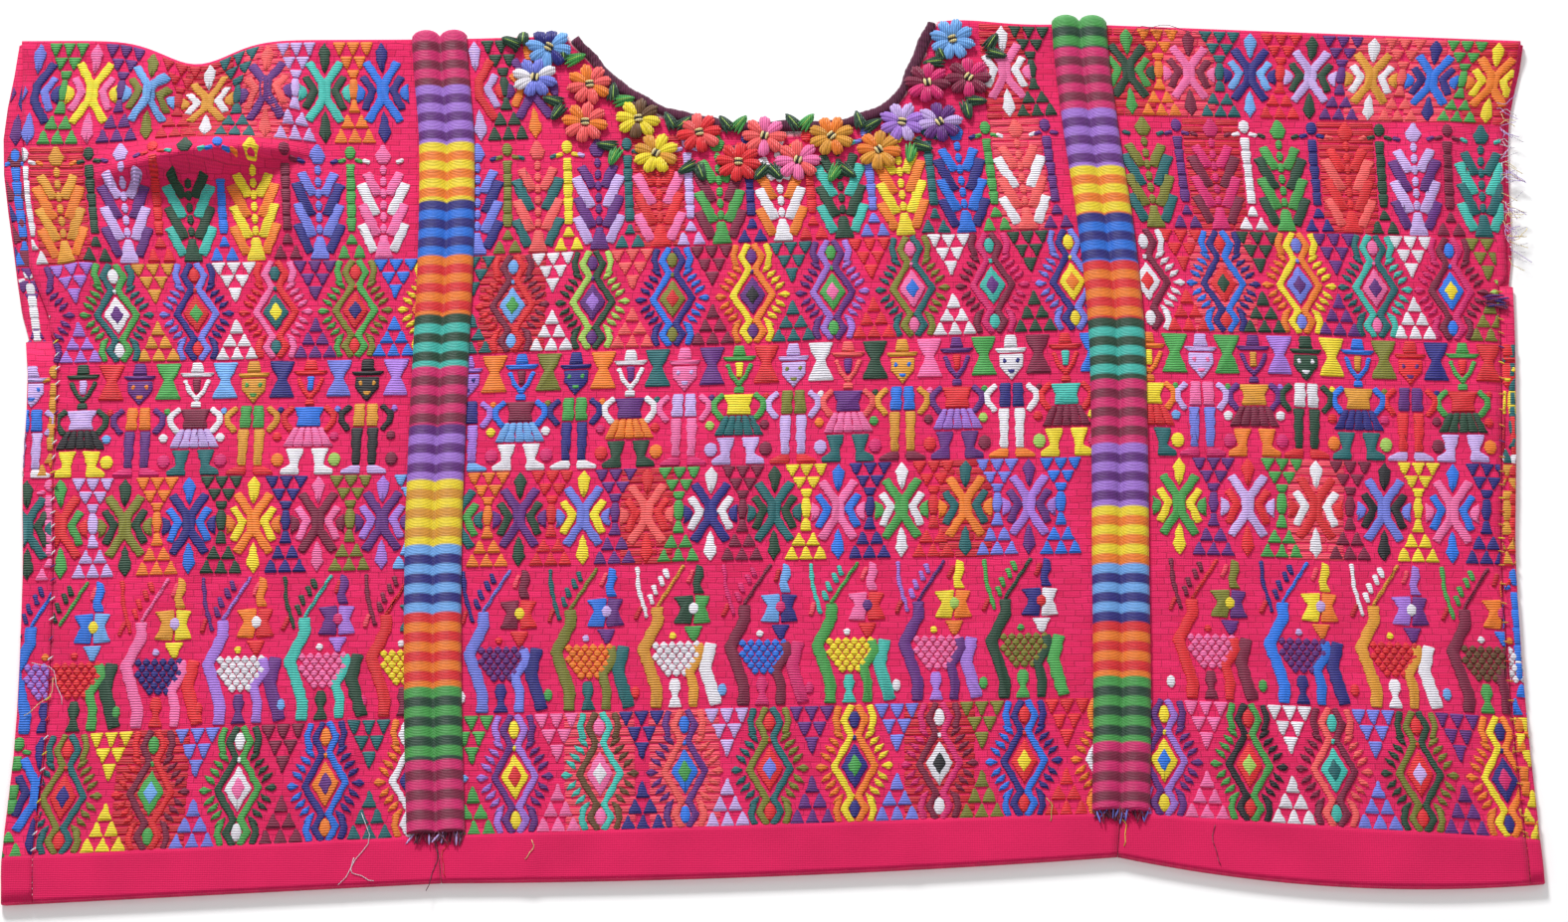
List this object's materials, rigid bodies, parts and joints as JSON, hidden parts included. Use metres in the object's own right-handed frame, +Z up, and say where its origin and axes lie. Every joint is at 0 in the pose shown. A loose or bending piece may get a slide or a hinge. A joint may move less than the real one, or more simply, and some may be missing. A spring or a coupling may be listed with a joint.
{
  "type": "huipil blouse",
  "caption": "Square woven blouse laid flat, joined from three lengths by padded stitched bands, with a scooped, flower-embroidered neck and open sides for the arms.",
  "frame": {"origin": "on the ground under the middle of the blouse's box", "axes": "+X across the blouse to the picture's right, +Y from the hem to the shoulder fold, +Z up from the ground"},
  "size_m": [0.774, 0.488, 0.0113],
  "materials": {
    "cloth": "matte hand-woven cotton with raised brocade",
    "randa": "satin-stitched padded rolls with coloured stripes",
    "edging": "soft overcast edging with a slight nap",
    "floss": "lustrous stranded cotton"
  },
  "bodies": {
    "root": {"left_panel": "cloth", "centre_panel": "cloth", "right_panel": "cloth", "left_randa": "randa", "right_randa": "randa", "neck_edging_front": "edging", "neck_edging_back": "edging"}
  },
  "joints": []
}
